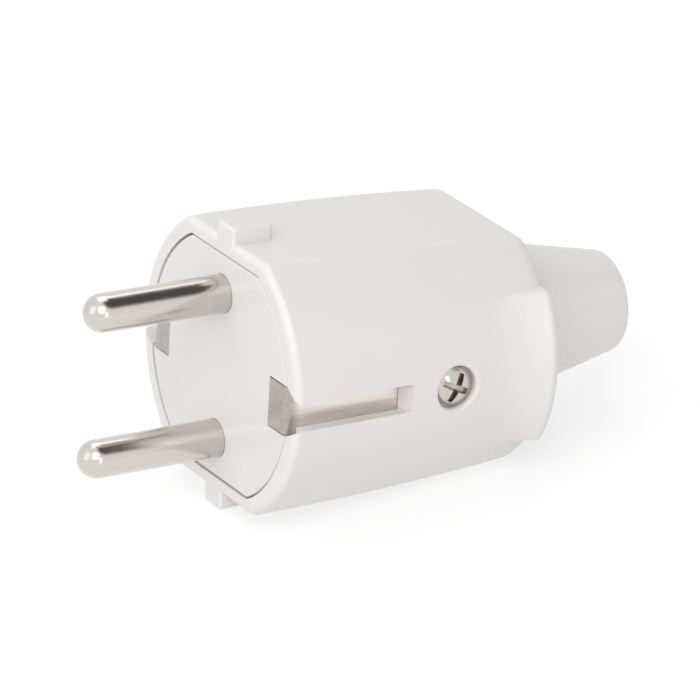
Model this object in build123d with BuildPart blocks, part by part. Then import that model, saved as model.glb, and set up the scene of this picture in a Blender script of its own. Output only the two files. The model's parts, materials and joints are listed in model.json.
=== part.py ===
from build123d import *
import os

# Rewirable two-pin mains plug with side earth contacts, in millimetres. X runs from the pins back
# to the cable neck, Z along the line through both pins. The origin is the contact face's middle.

# Contact pins and their terminal heads
pin_diameter = 4.8
pin_length = 19.0
pin_spacing = 19.0
pin_seat_depth = 0.1
pin_shank_diameter = 4.4
pin_collar_diameter = 6.6
pin_collar_length = 2.4
pin_collar_start = 5.0
terminal_diameter = 7.0
terminal_length = 9.0
terminal_flat_depth = 0.5
wire_hole_diameter = 3.2
wire_hole_depth = 7.5
terminal_screw_place = 5.0

# Carrier: a disc with a flat above and below, and a tongue behind it
terminal_cover = 1.35
carrier_crown = 2.05
carrier_corner = 1.2
carrier_edge = 0.3
disc_depth = 17.0
tongue_gap = 0.7
tongue_thickness = 3.0
tongue_margin = 1.2
tongue_corner = 4.0
tongue_end_margin = 0.4
rib_width = 2.5
rib_clearance = 1.5

# Earth strap, bent round the carrier
strap_width = 6.2
strap_thickness = 0.8
strap_bend = 1.1
strap_inset = 0.3
strap_hook = 4.0
strap_channel_depth = 1.0
washer_thickness = 1.0
washer_margin = 0.2

# Cover
carrier_clearance = 0.25
side_wall = 2.15
flat_wall = 1.8
body_narrowing = 1.5
flat_narrowing = 1.8
body_corner = 2.5
rim_round = 0.9
rear_round_step = 0.3
seat_width = 1.2
terminal_clearance = 0.4
cavity_end_gap = 1.0
rear_wall = 3.7
key_width = 3.9
key_length = 5.5
key_rise = 2.0
key_edge = 0.4
slot_mouth = 3.5
slot_floor = 4.4
slot_length = 15.8
slot_end_slope = 0.95
slot_lead_in = 1.6
strap_side_clearance = 0.15
grip_length = 8.5
grip_rise = 0.8
grip_half_height = 9.8
grip_rear_gap = 0.3
grip_edge = 1.0
grip_end_edge = 0.8
neck_length = 18.3
neck_end_radius = 6.4
neck_root_margin = 0.3
neck_root_step = 1.8
neck_root_round = 1.6
neck_end_round = 0.8
cable_bore = 9.5
bore_lead_in = 1.5
bore_mouth_chamfer = 0.5

# Screws: head sides and recesses are shares of each head's height or radius
fit_clearance = 0.05
head_side_share = 0.45
recess_depth_share = 0.6
recess_length_share = 1.6
recess_width_share = 0.36
recess_taper = 12.0
terminal_screw = dict(head_diameter=5.0, head_height=1.7, shank_diameter=3.0, shank_length=2.6)
earth_screw = dict(head_diameter=5.6, head_height=2.0, shank_diameter=3.0, shank_length=5.0)
clamp_screw = dict(head_diameter=5.4, head_height=1.8, shank_diameter=3.0, shank_length=9.5)
cover_screw_size = dict(head_diameter=5.0, head_height=1.5, shank_diameter=2.9, shank_length=8.0)
cover_screw_place = 23.1
cover_screw_sink = 2.2
cover_screw_turn = -25.0
counterbore_margin = 0.6
counterbore_edge = 0.4
screw_boss_diameter = 8.0

# Cord clamp
clamp_arch_radius = 4.4
clamp_thickness = 1.8
clamp_width = 6.0
clamp_seat_drop = 0.5
clamp_gap = 0.6
clamp_end_margin = 0.3
post_wall = 1.3
post_tail = 1.6

# Sizes that follow from those above
pin_radius = pin_diameter / 2
pin_shank_radius = pin_shank_diameter / 2
terminal_radius = terminal_diameter / 2
pin_height = pin_spacing / 2
carrier_flat = pin_height + terminal_radius + terminal_cover
carrier_radius = carrier_flat + carrier_crown
cavity_flat = carrier_flat + carrier_clearance
cavity_radius = carrier_radius + carrier_clearance
body_flat = cavity_flat + flat_wall
body_radius = cavity_radius + side_wall
rear_round = body_corner - rear_round_step
rear_flat = pin_height + terminal_radius + terminal_clearance
rear_radius = carrier_radius - seat_width
tongue_top = terminal_radius + tongue_gap
tongue_bottom = tongue_top + tongue_thickness
tongue_half_width = rear_flat - tongue_margin
terminal_end = disc_depth + terminal_length
clamp_place = terminal_end + clamp_gap + clamp_width / 2
tongue_end = clamp_place + clamp_width / 2 + tongue_end_margin
cavity_end = tongue_end + cavity_end_gap
body_length = cavity_end + rear_wall
barrel_bend = (body_length**2 + body_narrowing**2) / (2 * body_narrowing)
neck_end = body_length + neck_length
neck_root_reach = body_flat - flat_narrowing - rear_round - neck_root_margin
neck_root_radius = neck_root_reach - neck_root_step
strap_reach = carrier_radius - strap_inset
strap_floor = strap_reach - strap_thickness
strap_back = disc_depth - strap_channel_depth
strap_channel_width = strap_width + 2 * strap_side_clearance
clamp_arch_outer = clamp_arch_radius + clamp_thickness
clamp_screw_height = clamp_arch_outer + clamp_screw["head_diameter"] / 2 + clamp_end_margin
boss_radius = screw_boss_diameter / 2
boss_end = (rear_radius**2 - boss_radius**2) ** 0.5 - carrier_clearance
screw_seat = body_radius - cover_screw_sink
counterbore_radius = (cover_screw_size["head_diameter"] + counterbore_margin) / 2


def barrel_radius(place):
    """The cover's round side at a place along its length."""
    return body_radius - barrel_bend + (barrel_bend**2 - place**2) ** 0.5


def flattened_round(plane, radius, half_height, corner):
    """A round section with a flat above and below, and softened corners between."""
    with BuildSketch(plane) as section:
        Circle(radius)
        Rectangle(2 * radius, 2 * half_height, mode=Mode.INTERSECT)
        fillet(section.vertices(), corner)
    return section.sketch


def pan_screw(head_diameter, head_height, shank_diameter, shank_length):
    """A cross-recess pan-head screw along Z, with its seat under the head at the origin."""
    head_radius = head_diameter / 2
    head_side = head_height * head_side_share
    stem_radius = shank_diameter / 2
    recess_length = head_radius * recess_length_share
    recess_width = head_radius * recess_width_share
    with BuildPart() as screw:
        with BuildSketch(Plane.XZ):
            with BuildLine():
                crown = TangentArc((0, head_height), (head_radius, head_side), tangent=(1, 0))
                Polyline(
                    crown @ 1,
                    (head_radius, 0),
                    (stem_radius, 0),
                    (stem_radius, stem_radius / 2 - shank_length),
                    (stem_radius / 2, -shank_length),
                    (0, -shank_length),
                    crown @ 0,
                )
            make_face()
        revolve(axis=Axis.Z)
        with BuildSketch(Plane.XY.offset(head_height)):
            Rectangle(recess_length, recess_width)
            Rectangle(recess_width, recess_length)
        extrude(amount=-head_height * recess_depth_share, taper=recess_taper, mode=Mode.SUBTRACT)
    return screw.part


os.makedirs("parts", exist_ok=True)

# One pin on the X axis: round tip, collar that locks in the carrier, drilled terminal head
with BuildPart() as contact_pin:
    with BuildSketch(Plane.XY):
        with BuildLine():
            tip = TangentArc((-pin_length, 0), (pin_radius - pin_length, pin_radius), tangent=(0, 1))
            Polyline(
                tip @ 1,
                (pin_seat_depth, pin_radius),
                (pin_seat_depth, pin_shank_radius),
                (pin_collar_start, pin_shank_radius),
                (pin_collar_start, pin_collar_diameter / 2),
                (pin_collar_start + pin_collar_length, pin_collar_diameter / 2),
                (pin_collar_start + pin_collar_length, pin_shank_radius),
                (disc_depth, pin_shank_radius),
                (disc_depth, terminal_radius),
                (terminal_end, terminal_radius),
                (terminal_end, 0),
                tip @ 0,
            )
        make_face()
    revolve(axis=Axis.X)
    with Locations(Plane(origin=(terminal_end, 0, 0), z_dir=(1, 0, 0))):
        Hole(wire_hole_diameter / 2, wire_hole_depth)
    terminal_seat = terminal_radius - terminal_flat_depth
    with Locations((disc_depth + terminal_length / 2, terminal_radius, 0)):
        Box(terminal_length, 2 * terminal_flat_depth, terminal_diameter, mode=Mode.SUBTRACT)
    with Locations(Plane(origin=(disc_depth + terminal_screw_place, terminal_seat, 0), z_dir=(0, 1, 0))):
        Hole(terminal_screw["shank_diameter"] / 2 + fit_clearance, terminal_seat)

with BuildPart() as line_pin:
    with Locations((0, 0, pin_height)):
        add(contact_pin.part)
line_pin.part.label = "line_pin"
export_step(line_pin.part, "parts/line_pin.step")

with BuildPart() as neutral_pin:
    with Locations((0, 0, -pin_height)):
        add(contact_pin.part)
neutral_pin.part.label = "neutral_pin"
export_step(neutral_pin.part, "parts/neutral_pin.step")

# Terminal screws, driven in from the far side onto the flats of the terminal heads
with BuildPart() as pin_terminal_screws:
    screw_x = disc_depth + terminal_screw_place
    for height in (pin_height, -pin_height):
        with Locations(Plane(origin=(screw_x, terminal_seat, height), z_dir=(0, 1, 0))):
            add(pan_screw(**terminal_screw))
pin_terminal_screws.part.label = "pin_terminal_screws"
export_step(pin_terminal_screws.part, "parts/pin_terminal_screws.step")

# Carrier
with BuildPart() as pin_carrier:
    extrude(flattened_round(Plane.YZ, carrier_radius, carrier_flat, carrier_corner), amount=disc_depth)
    fillet(pin_carrier.faces().sort_by(Axis.X)[0].edges(), carrier_edge)

    # tongue with rounded rear corners
    with BuildSketch(Plane.XZ.offset(tongue_top)) as tongue:
        with Locations(((disc_depth + tongue_end) / 2, 0)):
            Rectangle(tongue_end - disc_depth, 2 * tongue_half_width)
        fillet(tongue.vertices().group_by(Axis.X)[-1], tongue_corner)
    extrude(amount=tongue_thickness)

    # boss for the cover screw and a rib that ties it to the disc
    with BuildSketch(Plane.XZ.offset(tongue_bottom)):
        with Locations((cover_screw_place, 0)):
            Circle(boss_radius)
    extrude(amount=boss_end - tongue_bottom)
    with BuildSketch(Plane.XZ.offset(tongue_bottom)):
        with Locations(((disc_depth + cover_screw_place) / 2, 0)):
            Rectangle(cover_screw_place - disc_depth, rib_width)
    extrude(amount=boss_end - tongue_bottom - rib_clearance)

    # posts for the cord clamp
    post_radius = clamp_screw["shank_diameter"] / 2 + post_wall
    with BuildSketch(Plane.XZ.offset(clamp_seat_drop)):
        with GridLocations(0, 2 * clamp_screw_height, 1, 2):
            with Locations((clamp_place, 0)):
                Circle(post_radius)
    extrude(amount=tongue_bottom + post_tail - clamp_seat_drop)

    # bores for the pins, their shoulders and their collars
    for height in (pin_height, -pin_height):
        with BuildSketch(Plane.YZ):
            with Locations((0, height)):
                Circle(pin_shank_radius + fit_clearance)
        extrude(amount=disc_depth, mode=Mode.SUBTRACT)
        with BuildSketch(Plane.YZ):
            with Locations((0, height)):
                Circle(pin_radius + fit_clearance)
        extrude(amount=pin_seat_depth, mode=Mode.SUBTRACT)
        with BuildSketch(Plane.YZ.offset(pin_collar_start - fit_clearance)):
            with Locations((0, height)):
                Circle(pin_collar_diameter / 2 + fit_clearance)
        extrude(amount=pin_collar_length + 2 * fit_clearance, mode=Mode.SUBTRACT)

    # channel for the earth strap: down both sides, across the back and under the hooks
    with BuildSketch(Plane.XY) as channel:
        with Locations((disc_depth / 2, 0)):
            Rectangle(disc_depth, 2 * carrier_radius)
        with Locations(((strap_thickness + strap_back) / 2, 0)):
            Rectangle(strap_back - strap_thickness, 2 * strap_floor, mode=Mode.SUBTRACT)
        Rectangle(2 * strap_thickness, 2 * (strap_reach - strap_hook), mode=Mode.SUBTRACT)
    extrude(amount=strap_channel_width / 2, both=True, mode=Mode.SUBTRACT)

    # holes for the earth, clamp and cover screws
    with Locations(Plane(origin=(strap_back, 0, 0), z_dir=(1, 0, 0))):
        Hole(earth_screw["shank_diameter"] / 2 + 2 * fit_clearance, earth_screw["shank_length"])
    with Locations(Plane(origin=(cover_screw_place, -boss_end, 0), z_dir=(0, -1, 0))):
        Hole(cover_screw_size["shank_diameter"] / 2 + fit_clearance, boss_end - tongue_bottom)
    for height in (clamp_screw_height, -clamp_screw_height):
        with Locations(Plane(origin=(clamp_place, -clamp_seat_drop, height), z_dir=(0, 1, 0))):
            Hole(clamp_screw["shank_diameter"] / 2 + fit_clearance, tongue_bottom + post_tail)
pin_carrier.part.label = "pin_carrier"
export_step(pin_carrier.part, "parts/pin_carrier.step")

# Earth strap: a bent strip with hooks on the face and a threaded hole in its back
with BuildPart() as earth_strap:
    with BuildSketch(Plane.XY) as strip:
        strap_end = strap_back + strap_thickness
        with Locations((strap_end / 2, 0)):
            RectangleRounded(strap_end, 2 * strap_reach, strap_bend)
            Rectangle(strap_end - 2 * strap_thickness, 2 * strap_floor, mode=Mode.SUBTRACT)
        Rectangle(2 * strap_thickness, 2 * (strap_reach - strap_hook), mode=Mode.SUBTRACT)
    extrude(amount=strap_width / 2, both=True)
    with Locations(Plane(origin=(strap_end, 0, 0), z_dir=(1, 0, 0))):
        Hole(earth_screw["shank_diameter"] / 2 + fit_clearance, strap_thickness)
earth_strap.part.label = "earth_strap"
export_step(earth_strap.part, "parts/earth_strap.step")

with BuildPart() as earth_clamp_washer:
    with BuildSketch(Plane.YZ.offset(strap_end)):
        Rectangle(strap_width - washer_margin, strap_width - washer_margin)
        Circle(earth_screw["shank_diameter"] / 2 + 2 * fit_clearance, mode=Mode.SUBTRACT)
    extrude(amount=washer_thickness)
earth_clamp_washer.part.label = "earth_clamp_washer"
export_step(earth_clamp_washer.part, "parts/earth_clamp_washer.step")

with BuildPart() as earth_terminal_screw:
    with Locations(Plane(origin=(strap_end + washer_thickness, 0, 0), z_dir=(1, 0, 0))):
        add(pan_screw(**earth_screw))
earth_terminal_screw.part.label = "earth_terminal_screw"
export_step(earth_terminal_screw.part, "parts/earth_terminal_screw.step")

# Cord clamp: a saddle on the two posts, arched over the cable
with BuildPart() as cord_clamp:
    with BuildSketch(Plane.YZ.offset(clamp_place - clamp_width / 2)) as saddle:
        with Locations((-clamp_seat_drop, 0)):
            Circle(clamp_arch_outer)
        with Locations((clamp_thickness / 2 - clamp_seat_drop, 0)):
            Rectangle(clamp_thickness, 2 * (clamp_screw_height + post_radius))
        with Locations((-clamp_seat_drop, 0)):
            Circle(clamp_arch_radius, mode=Mode.SUBTRACT)
        with Locations((-clamp_seat_drop - clamp_arch_outer, 0)):
            Rectangle(2 * clamp_arch_outer, 4 * clamp_arch_outer, mode=Mode.SUBTRACT)
    extrude(amount=clamp_width)
    clamp_top = clamp_thickness - clamp_seat_drop
    for height in (clamp_screw_height, -clamp_screw_height):
        with Locations(Plane(origin=(clamp_place, clamp_top, height), z_dir=(0, 1, 0))):
            Hole(clamp_screw["shank_diameter"] / 2 + 2 * fit_clearance, clamp_thickness)
cord_clamp.part.label = "cord_clamp"
export_step(cord_clamp.part, "parts/cord_clamp.step")

with BuildPart() as cord_clamp_screws:
    for height in (clamp_screw_height, -clamp_screw_height):
        with Locations(Plane(origin=(clamp_place, clamp_top, height), z_dir=(0, 1, 0))):
            add(pan_screw(**clamp_screw))
cord_clamp_screws.part.label = "cord_clamp_screws"
export_step(cord_clamp_screws.part, "parts/cord_clamp_screws.step")

# Thumb grips: a ring that flows out of the barrel and flares to the rear, kept only on the two sides
with BuildPart() as thumb_grips:
    grip_end = body_length - grip_rear_gap
    grip_start = grip_end - grip_length
    grip_base = body_radius - body_narrowing - rear_round
    with BuildSketch(Plane.XY) as flare:
        with BuildLine():
            crest = TangentArc(
                (grip_start, barrel_radius(grip_start)),
                (grip_end, body_radius + grip_rise),
                tangent=((barrel_bend**2 - grip_start**2) ** 0.5, -grip_start),
            )
            Polyline(crest @ 1, (grip_end, grip_base), (grip_start, grip_base), crest @ 0)
        make_face()
        fillet(flare.vertices().sort_by(Axis.Y)[-1], grip_edge)
    revolve(axis=Axis.X)
    with Locations((grip_end - grip_length / 2, 0, 0)):
        Box(2 * grip_length, 4 * body_radius, 2 * grip_half_height, mode=Mode.INTERSECT)
    grip_ends = thumb_grips.faces().filter_by(Axis.Z)
    fillet(grip_ends.edges().filter_by(lambda edge: abs(edge.center().Y) > grip_base), grip_end_edge)

# Key ribs: flush with the front, with softened edges, sunk into the flats
with BuildPart() as key_ribs:
    key_root = body_flat - flat_wall / 2
    key_top = body_flat + key_rise
    for way in (1, -1):
        with Locations((key_length / 2, 0, way * (key_root + key_top) / 2)):
            Box(key_length, key_width, key_top - key_root)
    fillet(key_ribs.edges().filter_by(lambda edge: abs(edge.center().Z) > key_root), key_edge)

# Cover
with BuildPart() as outer_cover:
    # barrel that narrows towards the rear, cut by two flats that narrow with it
    with BuildSketch(Plane.XY):
        with BuildLine():
            side = TangentArc((0, body_radius), (body_length, body_radius - body_narrowing), tangent=(1, 0))
            Polyline(side @ 1, (body_length, 0), (0, 0), side @ 0)
        make_face()
    revolve(axis=Axis.X)
    with BuildSketch(Plane.XZ):
        with BuildLine():
            upper = TangentArc((0, body_flat), (body_length, body_flat - flat_narrowing), tangent=(1, 0))
            lower = TangentArc((0, -body_flat), (body_length, flat_narrowing - body_flat), tangent=(1, 0))
            Line(upper @ 0, lower @ 0)
            Line(upper @ 1, lower @ 1)
        make_face()
    extrude(amount=2 * body_radius, both=True, mode=Mode.INTERSECT)
    middle_edges = outer_cover.edges().filter_by_position(Axis.X, disc_depth, cavity_end)
    fillet(middle_edges.filter_by(lambda edge: abs(edge.center().Z) > pin_height), body_corner)
    fillet(outer_cover.faces().sort_by(Axis.X)[-1].edges(), rear_round)
    fillet(outer_cover.faces().sort_by(Axis.X)[0].edges(), rim_round)
    add(thumb_grips.part)

    # tapered cable neck with a rounded root
    with BuildSketch(Plane.XY) as neck:
        with BuildLine():
            Polyline(
                (body_length - rear_wall / 2, 0),
                (body_length - rear_wall / 2, neck_root_reach),
                (body_length, neck_root_reach),
                (body_length, neck_root_radius),
                (neck_end, neck_end_radius),
                (neck_end, 0),
                close=True,
            )
        make_face()
        root = neck.vertices().group_by(Axis.X)[1].sort_by(Axis.Y)[0]
        fillet(root, neck_root_round)
        fillet(neck.vertices().group_by(Axis.X)[-1].sort_by(Axis.Y)[-1], neck_end_round)
    revolve(axis=Axis.X)

    add(key_ribs.part)

    # room for the carrier, then for the terminals behind it
    extrude(
        flattened_round(Plane.YZ, cavity_radius, cavity_flat, carrier_corner),
        amount=disc_depth,
        mode=Mode.SUBTRACT,
    )
    extrude(
        flattened_round(Plane.YZ.offset(disc_depth), rear_radius, rear_flat, carrier_corner),
        amount=cavity_end - disc_depth,
        mode=Mode.SUBTRACT,
    )

    # cable bore through the neck
    bore_radius = cable_bore / 2
    with BuildSketch(Plane.XY):
        with BuildLine():
            Polyline(
                (cavity_end, 0),
                (cavity_end, bore_radius + bore_lead_in),
                (cavity_end + bore_lead_in, bore_radius),
                (neck_end - bore_mouth_chamfer, bore_radius),
                (neck_end, bore_radius + bore_mouth_chamfer),
                (neck_end, 0),
                close=True,
            )
        make_face()
    revolve(axis=Axis.X, mode=Mode.SUBTRACT)

    # lips in the strap's channels that close the slots down to the strap
    lip_floor = strap_reach + fit_clearance
    lip_root = cavity_radius + side_wall / 2
    for way in (1, -1):
        with Locations(((slot_lead_in + disc_depth) / 2, way * (lip_floor + lip_root) / 2, 0)):
            Box(disc_depth - slot_lead_in, lip_root - lip_floor, strap_width)

    # earth slots: a little narrower at the mouth, wide at the rim, with a sloping rear end
    slot_top = body_radius + grip_rise
    for way in (1, -1):
        for floor, length in ((strap_channel_width, slot_lead_in), (slot_floor, slot_length)):
            with BuildSketch(Plane.YZ):
                with BuildLine():
                    Polyline(
                        (way * strap_reach, floor / 2),
                        (way * body_radius, slot_mouth / 2),
                        (way * slot_top, slot_mouth / 2),
                        (way * slot_top, -slot_mouth / 2),
                        (way * body_radius, -slot_mouth / 2),
                        (way * strap_reach, -floor / 2),
                        close=True,
                    )
                make_face()
            extrude(amount=length, mode=Mode.SUBTRACT)
        with BuildSketch(Plane.XY):
            with BuildLine():
                Polyline(
                    (slot_lead_in, way * strap_reach),
                    (slot_length, way * strap_reach),
                    (slot_length + slot_end_slope, way * body_radius),
                    (slot_length + slot_end_slope, way * slot_top),
                    (slot_lead_in, way * slot_top),
                    close=True,
                )
            make_face()
        extrude(amount=slot_mouth / 2, both=True, mode=Mode.SUBTRACT)

    # sunk seat for the cover screw, with a soft mouth
    with Locations(Plane(origin=(cover_screw_place, -body_radius, 0), z_dir=(0, -1, 0))):
        CounterBoreHole(
            cover_screw_size["shank_diameter"] / 2 + 2 * fit_clearance,
            counterbore_radius,
            cover_screw_sink,
            body_radius - boss_end,
        )
    mouth_x = cover_screw_place + counterbore_radius
    fillet(outer_cover.edges().sort_by_distance((mouth_x, -barrel_radius(mouth_x), 0))[0], counterbore_edge)
outer_cover.part.label = "outer_cover"
export_step(outer_cover.part, "parts/outer_cover.step")

with BuildPart() as cover_screw:
    with Locations(Plane(origin=(cover_screw_place, -screw_seat, 0), z_dir=(0, -1, 0))):
        add(pan_screw(**cover_screw_size), rotation=(0, 0, cover_screw_turn))
cover_screw.part.label = "cover_screw"
export_step(cover_screw.part, "parts/cover_screw.step")
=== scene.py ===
import json
import math

import bpy
from mathutils import Matrix, Vector

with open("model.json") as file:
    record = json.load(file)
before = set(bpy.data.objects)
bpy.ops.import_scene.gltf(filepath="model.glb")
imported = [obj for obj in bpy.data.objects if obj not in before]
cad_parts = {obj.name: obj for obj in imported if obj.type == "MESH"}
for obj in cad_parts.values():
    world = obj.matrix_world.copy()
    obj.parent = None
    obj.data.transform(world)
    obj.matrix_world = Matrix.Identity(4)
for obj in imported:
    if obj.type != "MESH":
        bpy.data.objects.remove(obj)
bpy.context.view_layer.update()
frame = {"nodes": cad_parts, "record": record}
nodes = frame["nodes"]

# Values below: lengths in metres unless named otherwise, angles in degrees, colours linear

# Camera, fitted to the places of the pins and the body in the photo
CAMERA_TURN = 32.28
CAMERA_HEIGHT = 21.67
CAMERA_ROLL = 3.32
CAMERA_DISTANCE = 0.74018
CAMERA_AIM = Vector((0.018, 0.0, 0.0))
CAMERA_SHIFT = (-0.00062, 0.00074)
FOCAL_PIXELS = 6000.0
FRAME_PIXELS = 700.0
SENSOR_MM = 36.0
CLIP_NEAR = 0.01
CLIP_FAR = 20.0

# Colours of the plug
COVER_WHITE = (0.80, 0.775, 0.765)
CARRIER_WHITE = (0.78, 0.765, 0.755)
NICKEL = (0.65, 0.61, 0.575)
STRAP_GREY = (0.79, 0.74, 0.69)
SCREW_NICKEL = (0.60, 0.555, 0.51)
# Painted shade: the colour that the screw's hollows are darkened towards
SCREW_HOLLOW_SHADE = (0.26, 0.22, 0.19)

# White mouldings: fine grain over faint waves
GRAIN_SCALE = 4200.0
GRAIN_DETAIL = 4.0
GRAIN_DEPTH = 0.00006
WAVE_SCALE = 160.0
WAVE_DETAIL = 2.0
WAVE_STRENGTH = 0.08
WAVE_DEPTH = 0.0004
MOULDED_SPREAD = 0.012
MOULDED_GLOSS = 0.45

# Plated metal: marks drawn out along one way
MARK_SCALE = 1800.0
MARK_DETAIL = 4.0
MARK_DEPTH = 0.00002
# Painted shade in hollows: surfaces within this distance darken the colour
HOLLOW_SHADE_DEPTH = 0.0009
# Painted shade: the strap's front, its hook, is darkened to this share, fading out over this span along X
STRAP_FRONT_SHADE_SHARE = 0.56
STRAP_FRONT_SHADE_SPAN = (0.0008, 0.0020)

# Floor
FLOOR_SIZE = 6.0
FLOOR_WHITE = (0.42, 0.42, 0.42)
FLOOR_SPREAD = 0.004
FLOOR_SCALE = 30.0
FLOOR_DETAIL = 2.0
FLOOR_ROUGHNESS = 0.8
FLOOR_GLOSS = 0.1
FLOOR_GLOW_SEEN = 0.63
FLOOR_GLOW_CAST = 0.38
KEY_RIB_BEFORE = 0.010
REAR_BEHIND = 0.020

# World: a sky that is bright one way and dim elsewhere, and a dark patch for the pins to mirror
WHITE = (1.0, 1.0, 1.0, 1.0)
SKY_TOWARDS = (-0.62, -0.25, 0.74)
SKY_SPAN = (-0.35, 0.75)
SKY_DIM = 0.16
SKY_BRIGHT = 0.95
PATCH_TOWARDS = (0.50, -0.22, 0.84)
PATCH_SPAN = (0.76, 0.95)
PATCH_DARK = 0.08

# Sockets of a Mix node that is set to colours
MIX_FIRST = 6
MIX_SECOND = 7
MIX_RESULT = 2


class Tree:
    """A node tree with short ways to add and join nodes."""

    def __init__(self, owner):
        owner.use_nodes = True
        self.nodes = owner.node_tree.nodes
        self.links = owner.node_tree.links

    def put(self, socket, value):
        """Join an output to a socket, or set the socket to a constant."""
        if isinstance(value, bpy.types.NodeSocket):
            self.links.new(value, socket)
        else:
            socket.default_value = value

    def add(self, kind, **inputs):
        node = self.nodes.new(kind)
        for name, value in inputs.items():
            self.put(node.inputs[name.replace("_", " ")], value)
        return node

    def operate(self, kind, operation, *inputs):
        """A math node with its inputs in order."""
        node = self.nodes.new(kind)
        node.operation = operation
        for socket, value in zip(node.inputs, inputs):
            self.put(socket, value)
        return node

    def ranged(self, value, low, high, span=(0.0, 1.0), curve="LINEAR"):
        """A value carried from a span to the range from low to high."""
        node = self.add(
            "ShaderNodeMapRange",
            Value=value, From_Min=span[0], From_Max=span[1], To_Min=low, To_Max=high,
        )
        node.interpolation_type = curve
        return node.outputs["Result"]

    def shows_background(self):
        """1 for rays that show the background, to the camera or in metal, 0 for those that light the plug."""
        path = self.add("ShaderNodeLightPath").outputs
        mirrored = self.operate(
            "ShaderNodeMath", "MAXIMUM", path["Is Glossy Ray"], path["Is Transmission Ray"]
        ).outputs["Value"]
        return self.operate("ShaderNodeMath", "MAXIMUM", path["Is Camera Ray"], mirrored).outputs["Value"]


class Surface(Tree):
    """The tree of a new material, with its shader and the object's own coordinates."""

    def __init__(self, name):
        self.material = bpy.data.materials.new(name)
        super().__init__(self.material)
        self.shader = self.nodes["Principled BSDF"]
        self.place = self.add("ShaderNodeTexCoord").outputs["Object"]

    def set(self, **inputs):
        """Set or join the shader's own sockets."""
        for name, value in inputs.items():
            self.put(self.shader.inputs[name.replace("_", " ")], value)

    def noise(self, scale, detail, stretch=None):
        place = self.place
        if stretch:
            place = self.add("ShaderNodeMapping", Vector=place, Scale=stretch).outputs["Vector"]
        return self.add("ShaderNodeTexNoise", Vector=place, Scale=scale, Detail=detail).outputs["Fac"]

    def mix(self, share, first, second):
        node = self.add("ShaderNodeMix")
        node.data_type = "RGBA"
        self.put(node.inputs["Factor"], share)
        self.put(node.inputs[MIX_FIRST], first)
        self.put(node.inputs[MIX_SECOND], second)
        return node.outputs[MIX_RESULT]

    def shade(self, value, colour, spread):
        """A colour that a value from 0 to 1 makes darker or lighter by a spread."""
        dark = [channel * (1 - spread) for channel in colour]
        light = [min(channel * (1 + spread), 1.0) for channel in colour]
        return self.mix(value, (*dark, 1.0), (*light, 1.0))

    def paint_hollow_shade(self, colour, hollow_shade_colour):
        # Painted shade: the colour goes towards the hollow shade colour where nearby surfaces hem a point in,
        # as in the screw's recess
        hollow = self.add("ShaderNodeAmbientOcclusion", Distance=HOLLOW_SHADE_DEPTH)
        hollow.only_local = True
        return self.mix(hollow.outputs["AO"], (*hollow_shade_colour, 1.0), colour)

    def paint_front_shade(self, colour, share, span):
        """Painted shade: a colour times a share in front of a span along X, and as it is behind that."""
        along = self.add("ShaderNodeSeparateXYZ", Vector=self.place).outputs["X"]
        node = self.operate("ShaderNodeVectorMath", "SCALE", colour)
        self.put(node.inputs["Scale"], self.ranged(along, share, 1.0, span))
        return node.outputs["Vector"]

    def bump(self, value, strength, depth, over=None):
        node = self.add("ShaderNodeBump", Height=value, Strength=strength, Distance=depth)
        if over is not None:
            self.put(node.inputs["Normal"], over)
        return node.outputs["Normal"]


def moulded(name, colour, rough, grain):
    """White rubber or plastic out of a mould."""
    surface = Surface(name)
    fine = surface.noise(GRAIN_SCALE, GRAIN_DETAIL)
    broad = surface.noise(WAVE_SCALE, WAVE_DETAIL)
    waves = surface.bump(broad, WAVE_STRENGTH, WAVE_DEPTH)
    surface.set(
        Base_Color=surface.shade(broad, colour, MOULDED_SPREAD),
        Roughness=surface.ranged(fine, *rough),
        Normal=surface.bump(fine, grain, GRAIN_DEPTH, waves),
        Specular_IOR_Level=MOULDED_GLOSS,
    )
    return surface.material


def metal(name, colour, rough, stretch, marks, streaks, hollow_shade_colour=None, front_shade_share=None):
    """Plated metal with marks and streaks, and with painted shade in hollows or a painted darker front where
    asked for.
    """
    surface = Surface(name)
    drawn = surface.noise(MARK_SCALE, MARK_DETAIL, stretch)
    plating_and_painted_shade = surface.shade(drawn, colour, streaks)
    # Painted shade: hollows are darkened, and the front is darkened, where asked for
    if hollow_shade_colour:
        plating_and_painted_shade = surface.paint_hollow_shade(plating_and_painted_shade, hollow_shade_colour)
    if front_shade_share:
        plating_and_painted_shade = surface.paint_front_shade(plating_and_painted_shade, front_shade_share, STRAP_FRONT_SHADE_SPAN)
    surface.set(
        Base_Color=plating_and_painted_shade,
        Roughness=surface.ranged(drawn, *rough),
        Normal=surface.bump(drawn, marks, MARK_DEPTH),
        Metallic=1.0,
    )
    return surface.material


def area_light(name, place, aim, width, height, power):
    """A soft box at a place, turned to a point."""
    data = bpy.data.lights.new(name, "AREA")
    data.shape = "RECTANGLE"
    data.size = width
    data.size_y = height
    data.energy = power
    light = bpy.data.objects.new(name, data)
    bpy.context.scene.collection.objects.link(light)
    light.location = place
    light.rotation_euler = (Vector(aim) - Vector(place)).to_track_quat("-Z", "Y").to_euler()


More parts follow.
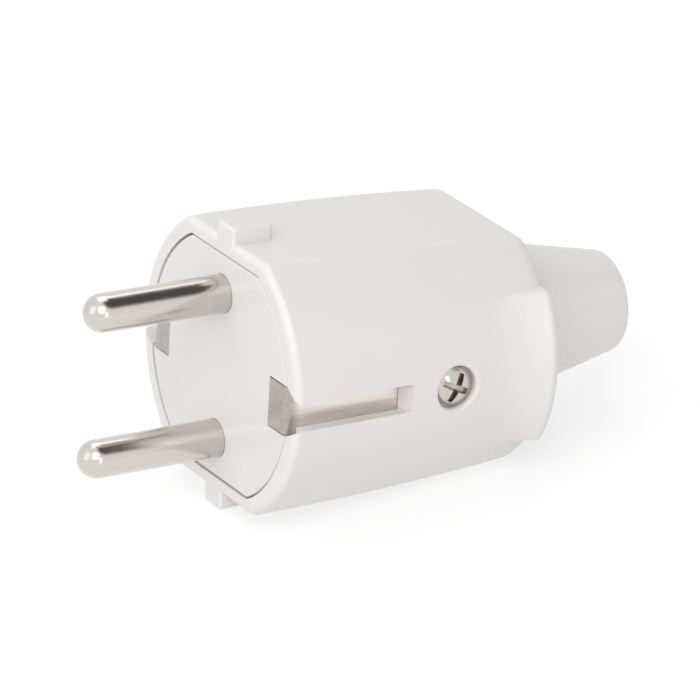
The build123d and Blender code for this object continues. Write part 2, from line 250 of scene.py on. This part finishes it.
# Materials of the plug, one for each slot in the record
materials = {
    "cover_rubber": moulded("cover_rubber", COVER_WHITE, rough=(0.26, 0.38), grain=0.08),
    "carrier_plastic": moulded("carrier_plastic", CARRIER_WHITE, rough=(0.28, 0.40), grain=0.05),
    "pin_metal": metal(
        "pin_metal", NICKEL,
        rough=(0.13, 0.25), stretch=(1.0, 0.08, 0.08), marks=0.12, streaks=0.05,
    ),
    "strap_metal": metal(
        "strap_metal", STRAP_GREY,
        rough=(0.22, 0.38), stretch=(0.05, 0.7, 1.0), marks=0.20, streaks=0.23,
        # Painted shade: the strap's hook darker than its side
        front_shade_share=STRAP_FRONT_SHADE_SHARE,
    ),
    "screw_metal": metal(
        "screw_metal", SCREW_NICKEL,
        rough=(0.12, 0.22), stretch=(1.0, 1.0, 1.0), marks=0.10, streaks=0.08,
        # Painted shade in the screw's cross recess and round its head
        hollow_shade_colour=SCREW_HOLLOW_SHADE,
    ),
}
for subpart in frame["record"]["subparts"]:
    mesh = nodes[subpart["node"]].data
    mesh.materials.clear()
    mesh.materials.append(materials[subpart["material_slot"]])

# Floor: touches the lower key rib and the rear of the lower flat, as the plug lies in the photo
points = [vertex.co for vertex in nodes["outer_cover"].data.vertices]
front_points = [p for p in points if p.x < KEY_RIB_BEFORE]
rear_points = [p for p in points if p.x > REAR_BEHIND]
rib_foot = min(front_points, key=lambda p: (round(p.z, 5), -p.x))
slope = min((p.z - rib_foot.z) / (p.x - rib_foot.x) for p in rear_points)
bpy.ops.mesh.primitive_plane_add(size=FLOOR_SIZE)
floor = bpy.context.object
floor.name = "floor"
floor.matrix_world = Matrix.Translation(rib_foot) @ Matrix.Rotation(-math.atan(slope), 4, "Y")
floor_surface = Surface("floor_white")
floor_tone = floor_surface.noise(FLOOR_SCALE, FLOOR_DETAIL)
floor_shows = floor_surface.shows_background()
floor_surface.set(
    Base_Color=floor_surface.shade(floor_tone, FLOOR_WHITE, FLOOR_SPREAD),
    Roughness=FLOOR_ROUGHNESS,
    Specular_IOR_Level=FLOOR_GLOSS,
    Emission_Color=WHITE,
    Emission_Strength=floor_surface.ranged(floor_shows, FLOOR_GLOW_CAST, FLOOR_GLOW_SEEN),
)

# The floor's underside is clear, because the tilted floor would hide the plug in low views from behind
underside = floor_surface.add("ShaderNodeNewGeometry").outputs["Backfacing"]
clear = floor_surface.add("ShaderNodeBsdfTransparent").outputs["BSDF"]
either_side = floor_surface.add("ShaderNodeMixShader")
for socket, value in zip(either_side.inputs, (underside, floor_surface.shader.outputs["BSDF"], clear)):
    floor_surface.put(socket, value)
floor_end = floor_surface.nodes["Material Output"].inputs["Surface"]
floor_surface.put(floor_end, either_side.outputs["Shader"])
floor.data.materials.append(floor_surface.material)

# World: white, with the patch, to the camera and in metal; the sky and the patch as a light
world = bpy.data.worlds.new("studio")
bpy.context.scene.world = world
sky = Tree(world)
direction = sky.add("ShaderNodeTexCoord").outputs["Generated"]
sky_facing = sky.operate("ShaderNodeVectorMath", "DOT_PRODUCT", direction, SKY_TOWARDS)
patch_facing = sky.operate("ShaderNodeVectorMath", "DOT_PRODUCT", direction, PATCH_TOWARDS)
glow = sky.ranged(sky_facing.outputs["Value"], SKY_DIM, SKY_BRIGHT, SKY_SPAN, "SMOOTHSTEP")
patch = sky.ranged(patch_facing.outputs["Value"], 1.0, PATCH_DARK, PATCH_SPAN, "SMOOTHSTEP")
cast = sky.operate("ShaderNodeMath", "MULTIPLY", glow, patch).outputs["Value"]
background = sky.nodes["Background"]
sky.put(background.inputs["Color"], WHITE)
sky.put(background.inputs["Strength"], sky.ranged(sky.shows_background(), cast, patch))

# Lights
area_light("key", (-0.35, -0.50, 0.50), (0.02, 0.0, 0.0), width=0.45, height=0.45, power=1.75)
area_light("left", (-0.75, 0.05, 0.30), (0.0, 0.0, 0.0), width=0.50, height=0.60, power=0.40)
area_light("front", (-0.04, -0.80, 0.09), (0.02, 0.0, 0.0), width=0.12, height=0.45, power=0.4)
area_light("top", (0.10, 0.25, 0.72), (0.02, 0.0, 0.0), width=0.50, height=0.50, power=0.92)

# Camera: its back, right and up directions from its turn, height and roll
turn = math.radians(CAMERA_TURN)
height = math.radians(CAMERA_HEIGHT)
roll = math.radians(CAMERA_ROLL)
level_back = Vector((-math.sin(turn), -math.cos(turn), 0.0))
level_right = Vector((math.cos(turn), -math.sin(turn), 0.0))
upright = Vector((0.0, 0.0, 1.0))
back = level_back * math.cos(height) + upright * math.sin(height)
straight_up = upright * math.cos(height) - level_back * math.sin(height)
right = level_right * math.cos(roll) + straight_up * math.sin(roll)
up = straight_up * math.cos(roll) - level_right * math.sin(roll)
camera_data = bpy.data.cameras.new("camera")
camera_data.sensor_width = SENSOR_MM
camera_data.lens = FOCAL_PIXELS / FRAME_PIXELS * SENSOR_MM
camera_data.clip_start = CLIP_NEAR
camera_data.clip_end = CLIP_FAR
camera = bpy.data.objects.new("camera", camera_data)
bpy.context.scene.collection.objects.link(camera)
place = CAMERA_AIM + back * CAMERA_DISTANCE - right * CAMERA_SHIFT[0] - up * CAMERA_SHIFT[1]
turned = Matrix((right, up, back)).transposed().to_4x4()
camera.matrix_world = Matrix.Translation(place) @ turned
bpy.context.scene.camera = camera

bpy.context.scene.view_settings.view_transform = "Standard"
